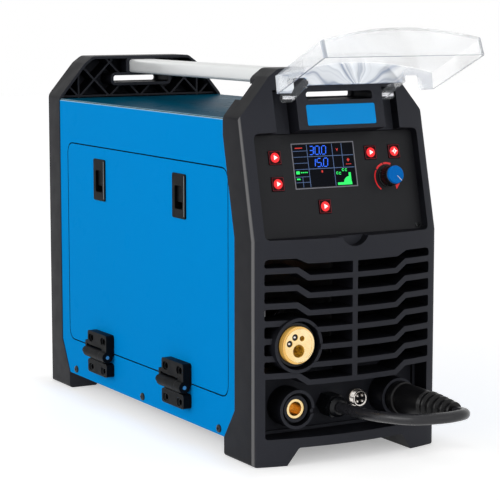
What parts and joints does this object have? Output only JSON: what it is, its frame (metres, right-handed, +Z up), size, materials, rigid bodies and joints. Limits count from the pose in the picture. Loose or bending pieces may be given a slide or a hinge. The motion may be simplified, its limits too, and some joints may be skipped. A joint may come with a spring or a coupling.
{
  "type": "mig welding machine",
  "caption": "Portable wire-feed welding machine with moulded end bezels, sheet case, side door, clear hinged panel cover, torch and lead sockets, wire feeder, fan and carrying bar.",
  "frame": {"origin": "centre of the footprint of the four moulded feet, on the floor", "axes": "+X to the operator's right when facing the front, +Y towards the rear, +Z up"},
  "size_m": [0.219, 0.6152, 0.4095],
  "materials": {
    "black_plastic": "fine moulded texture",
    "blue_paint": "satin powder coat",
    "zinc_steel": "zinc plated",
    "bar_metal": "satin anodised",
    "key_film": "matt film",
    "display_glass": "gloss window",
    "board": "coated board",
    "plate_blue": "gloss film",
    "brass": "turned",
    "nickel": "nickel plated",
    "gloss_black": "semi gloss",
    "lead_rubber": "smooth sheath",
    "boot_rubber": "soft matt",
    "clear_plastic": "clear polycarbonate",
    "cap_blue": "satin",
    "button_red": "lit key",
    "motor_steel": "black enamel",
    "raw_aluminium": "machined",
    "copper_winding": "varnished winding",
    "spool_plastic": "moulded",
    "roll_steel": "hardened"
  },
  "bodies": {
    "case": {"front_bezel": "black_plastic", "rear_bezel": "black_plastic", "case_sheet": "blue_paint", "base_pan": "zinc_steel", "partition": "zinc_steel", "handle_bar": "bar_metal", "connector_plate": "black_plastic", "key_panel": "key_film", "display": "display_glass", "control_board": "board", "name_plate": "plate_blue", "cover_pins": "roll_steel", "torch_socket": "brass", "torch_collar": "gloss_black", "torch_contacts": "gloss_black", "socket_shell_left": "black_plastic", "socket_shell_right": "black_plastic", "socket_inserts": "brass", "signal_socket": "nickel", "signal_pins": "gloss_black", "lead_gland": "gloss_black", "case_screws": "motor_steel", "hinge_lower_leaves": "black_plastic", "hinge_pins": "roll_steel", "fan_frame": "black_plastic", "fan_guard": "nickel", "switch_body": "gloss_black", "mains_gland": "gloss_black", "gas_inlet": "brass", "gas_valve": "brass", "feed_frame": "raw_aluminium", "feed_motor": "motor_steel", "wire_guides": "brass", "spool_axle": "gloss_black", "power_board": "board", "heat_sink": "raw_aluminium", "transformer": "copper_winding", "choke": "copper_winding", "plug_body": "brass", "plug_boot": "boot_rubber", "bridge_lead": "lead_rubber"},
    "door": {"door": "blue_paint", "hinge_upper_leaves": "black_plastic", "latch_frames": "black_plastic"},
    "latch_front": {"latch_slide_front": "gloss_black"},
    "latch_rear": {"latch_slide_rear": "gloss_black"},
    "cover": {"clear_cover": "clear_plastic"},
    "dial": {"dial_body": "gloss_black", "dial_cap": "cap_blue"},
    "button_1": {"button_1": "button_red"},
    "button_2": {"button_2": "button_red"},
    "button_3": {"button_3": "button_red"},
    "button_4": {"button_4": "button_red"},
    "button_5": {"button_5": "button_red"},
    "fan": {"fan_rotor": "black_plastic"},
    "drive": {"drive_roll": "roll_steel"},
    "arm": {"pressure_arm": "black_plastic"},
    "press": {"pressure_roll": "roll_steel"},
    "spool": {"wire_spool": "spool_plastic"},
    "rocker": {"switch_rocker": "gloss_black"}
  },
  "joints": [
    {"name": "door_hinge", "type": "hinge", "parent": "case", "child": "door", "pos_m": [-0.1095, 0.005, 0.0545], "axis": [0, -1, 0], "range_deg": [0, 95]},
    {"name": "latch_front_slide", "type": "slide", "parent": "door", "child": "latch_front", "axis": [0, 0, -1], "range_m": [0, 0.006]},
    {"name": "latch_rear_slide", "type": "slide", "parent": "door", "child": "latch_rear", "axis": [0, 0, -1], "range_m": [0, 0.006]},
    {"name": "cover_hinge", "type": "hinge", "parent": "case", "child": "cover", "pos_m": [0, -0.21691, 0.34351], "axis": [1, 0, 0], "range_deg": [0, 104.7]},
    {"name": "dial_turn", "type": "hinge", "parent": "case", "child": "dial", "pos_m": [0.0566, -0.21707, 0.26445], "axis": [0, -0.9736, 0.2284], "continuous": true},
    {"name": "button_1_press", "type": "slide", "parent": "case", "child": "button_1", "axis": [0, 0.9736, -0.2284], "range_m": [0, 0.0008], "stiffness_N_per_m": 300},
    {"name": "button_2_press", "type": "slide", "parent": "case", "child": "button_2", "axis": [0, 0.9736, -0.2284], "range_m": [0, 0.0008], "stiffness_N_per_m": 300},
    {"name": "button_3_press", "type": "slide", "parent": "case", "child": "button_3", "axis": [0, 0.9736, -0.2284], "range_m": [0, 0.0008], "stiffness_N_per_m": 300},
    {"name": "button_4_press", "type": "slide", "parent": "case", "child": "button_4", "axis": [0, 0.9736, -0.2284], "range_m": [0, 0.0008], "stiffness_N_per_m": 300},
    {"name": "button_5_press", "type": "slide", "parent": "case", "child": "button_5", "axis": [0, 0.9736, -0.2284], "range_m": [0, 0.0008], "stiffness_N_per_m": 300},
    {"name": "fan_spin", "type": "hinge", "parent": "case", "child": "fan", "pos_m": [0.038, 0.225, 0.12], "axis": [0, 1, 0], "continuous": true},
    {"name": "drive_turn", "type": "hinge", "parent": "case", "child": "drive", "pos_m": [-0.0588, -0.103, 0.0934], "axis": [1, 0, 0], "continuous": true},
    {"name": "arm_lift", "type": "hinge", "parent": "case", "child": "arm", "pos_m": [-0.056, -0.069, 0.1208], "axis": [-1, 0, 0], "range_deg": [0, 50]},
    {"name": "press_turn", "type": "hinge", "parent": "arm", "child": "press", "pos_m": [-0.056, -0.103, 0.1242], "axis": [1, 0, 0], "continuous": true},
    {"name": "spool_turn", "type": "hinge", "parent": "case", "child": "spool", "pos_m": [-0.052, 0.065, 0.165], "axis": [1, 0, 0], "continuous": true},
    {"name": "rocker_tilt", "type": "hinge", "parent": "case", "child": "rocker", "pos_m": [-0.062, 0.23, 0.262], "axis": [1, 0, 0], "range_deg": [-20, 0]}
  ],
  "couplings": [
    {"joint": "press_turn", "follows": "drive_turn", "ratio": -1}
  ]
}
